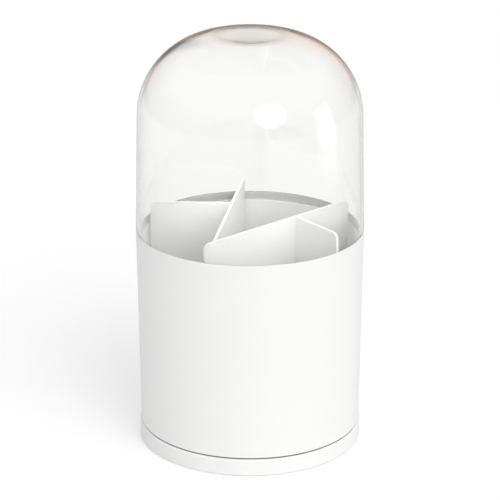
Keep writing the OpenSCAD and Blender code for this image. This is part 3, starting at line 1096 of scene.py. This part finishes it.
class ORGANIZER_OT_stage(Operator):
    """Builds the ground, the soft studio light and the camera"""

    bl_idname = "organizer.stage"
    bl_label = "Stage"

    def execute(self, context):
        self.ground()
        self.surroundings()
        self.key()
        self.camera(context)
        context.scene.view_settings.view_transform = "Standard"
        return {"FINISHED"}

    def ground(self):
        """A wide pale ground that takes shadows and is white to the camera elsewhere; in gloss only, its
        far part glows dim and a patch towards the doorway glows bright, as painted reflections.
        """
        shape = bmesh.new()
        bmesh.ops.create_circle(shape, cap_ends=True, segments=96, radius=GROUND_RADIUS)
        mesh = bpy.data.meshes.new("ground")
        shape.to_mesh(mesh)
        shape.free()
        ground = new_object("ground", mesh)
        material, tree, shader, output, where = finish_tree("pale_ground")
        pale = (*colours().floor, 1)
        feed(tree, shader, {"Base Color": pale, "Roughness": 0.9, "Specular IOR Level": 0.0})
        glow = glowing(tree, (1, 1, 1), product(tree, seen_through(tree), studio().glow))
        near = add(tree, "ShaderNodeAddShader", {0: shader.outputs[0], 1: glow})
        # Painted reflection: in gloss only, the far ground glows with the back wall's dim colour in
        # place of its lit shading
        away = add(tree, "ShaderNodeVectorMath", {0: where}, operation="LENGTH").outputs["Value"]
        far = product(tree, rising(tree, away, FAR_GROUND), in_gloss(tree))
        dim = glowing(tree, studio().back, 1.0)
        whole = add(tree, "ShaderNodeMixShader", {0: far, 1: near.outputs[0], 2: dim})
        # Painted reflection: in gloss only, a patch of ground towards the doorway glows bright
        spot = add(tree, "ShaderNodeSeparateXYZ", {0: where}).outputs
        lit = product(tree, self.in_door(tree, spot), rising(tree, spot["X"], DOOR_SILL), in_gloss(tree))
        painted_door_reflection = glowing(tree, (1, 1, 1), studio().door)
        whole = add(tree, "ShaderNodeMixShader", {0: lit, 1: whole.outputs[0], 2: painted_door_reflection})
        feed(tree, output, {"Surface": whole.outputs[0]})
        tidy(tree)
        mesh.materials.append(material)

    def surroundings(self):
        """Soft light, most of it from the upper right, white for the camera, and a room for gloss."""
        world = bpy.data.worlds.new("soft_room")
        world.use_nodes = True
        tree = world.node_tree
        tree.nodes.clear()
        level = studio()
        way = add(tree, "ShaderNodeTexCoord").outputs["Generated"]
        pane = {0: way, 1: towards(*WINDOW_WAY)}
        near = add(tree, "ShaderNodeVectorMath", pane, operation="DOT_PRODUCT").outputs["Value"]
        window = rising(tree, near, WINDOW_EDGE, level.window)
        seen = seen_through(tree)
        path = add(tree, "ShaderNodeLightPath").outputs
        bounced = maths(tree, "MINIMUM", path["Diffuse Depth"], 1.0)
        inside = product(tree, path["Is Transmission Ray"], bounced, level.inside)
        inside = maths(tree, "ADD", inside, 1.0)
        light = maths(tree, "ADD", window, level.ambient)
        light = product(tree, light, inside, maths(tree, "SUBTRACT", 1.0, seen))
        parts = add(tree, "ShaderNodeSeparateXYZ", {0: way}).outputs
        room = mixed(tree, rising(tree, parts["Z"], CEILING_FOOT), level.room, level.ceiling)
        behind = product(
            tree, rising(tree, parts["Y"], BACK_WALL_SIDE), falling(tree, parts["Z"], BACK_WALL_TOP)
        )
        room = mixed(tree, behind, room, self.back_wall(tree, parts["X"]))
        open_door = product(tree, self.in_door(tree, parts), falling(tree, parts["Z"], DOOR_TOP))
        room = mixed(tree, open_door, room, (level.door,) * 3)
        shown = mixed(tree, in_gloss(tree), maths(tree, "ADD", seen, light), room)
        sky = add(tree, "ShaderNodeBackground", {"Color": shown})
        add(tree, "ShaderNodeOutputWorld", {"Surface": sky.outputs[0]})
        tidy(tree)
        bpy.context.scene.world = world

    def in_door(self, tree, parts):
        """One towards the lit doorway on the right, and nought elsewhere."""
        turn = maths(tree, "DIVIDE", parts["Y"], parts["X"])
        on_right = maths(tree, "GREATER_THAN", parts["X"], 0.0)
        return product(tree, rising(tree, turn, DOOR_FRONT), falling(tree, turn, DOOR_BACK), on_right)

    def back_wall(self, tree, across):
        """The wall behind: dim in the middle, lighter at its sides, with a dark corner to the left."""
        level = studio()
        from_corner = maths(tree, "ABSOLUTE", maths(tree, "SUBTRACT", across, level.corner_place))
        wall = mixed(tree, rising(tree, from_corner, CORNER_SIDE), level.corner, level.back_sides)
        from_middle = maths(tree, "ABSOLUTE", across)
        return mixed(tree, rising(tree, from_middle, DIM_MIDDLE), level.back, wall)

    def key(self):
        """The round lamp to the right of the camera."""
        lamp = bpy.data.lights.new("key", "SUN")
        lamp.energy = studio().key
        lamp.angle = KEY_WIDTH
        lamp.color = (1.0, 0.99, 0.975)
        way = towards(*KEY_WAY)
        obj = new_object("key", lamp)
        obj.location = way * 2
        obj.rotation_euler = way.to_track_quat("Z", "Y").to_euler()

    def camera(self, context):
        """The camera at the photograph's place."""
        lens = bpy.data.cameras.new("camera")
        lens.lens = CAMERA_LENS
        lens.sensor_width = 36.0
        lens.clip_start, lens.clip_end = 0.05, 50.0
        eye = new_object("camera", lens)
        eye.location = CAMERA_PLACE
        eye.rotation_euler = (CAMERA_AIM - CAMERA_PLACE).to_track_quat("-Z", "Y").to_euler()
        context.scene.camera = eye


class ORGANIZER_PT_panel(Panel):
    """Sizes, colours and the pieces' buttons"""

    bl_idname = "ORGANIZER_PT_panel"
    bl_label = "Makeup Organizer"
    bl_space_type = "VIEW_3D"
    bl_region_type = "UI"
    bl_category = "Organizer"

    def draw(self, context):
        for title, group in (("Sizes", sizes()), ("Colours", colours()), ("Studio", studio())):
            box = self.layout.box()
            box.label(text=title)
            for name in group.__annotations__:
                box.prop(group, name)
        for operator in OPERATORS:
            self.layout.operator(operator.bl_idname)


OPERATORS = (
    ORGANIZER_OT_base,
    ORGANIZER_OT_pads,
    ORGANIZER_OT_bearing,
    ORGANIZER_OT_fasteners,
    ORGANIZER_OT_bucket,
    ORGANIZER_OT_divider,
    ORGANIZER_OT_lid,
    ORGANIZER_OT_stage,
)
GROUPS = {
    "organizer_sizes": OrganizerSizes,
    "organizer_colours": OrganizerColours,
    "organizer_studio": OrganizerStudio,
}
CLASSES = (*GROUPS.values(), *OPERATORS, ORGANIZER_PT_panel)


def register():
    for item in CLASSES:
        bpy.utils.register_class(item)
    for name, group in GROUPS.items():
        setattr(bpy.types.Scene, name, PointerProperty(type=group))


def unregister():
    for name in GROUPS:
        delattr(bpy.types.Scene, name)
    for item in reversed(CLASSES):
        bpy.utils.unregister_class(item)


def main():
    register()
    for operator in OPERATORS:
        getattr(bpy.ops.organizer, operator.bl_idname.split(".")[1])()


if __name__ == "__main__":
    main()
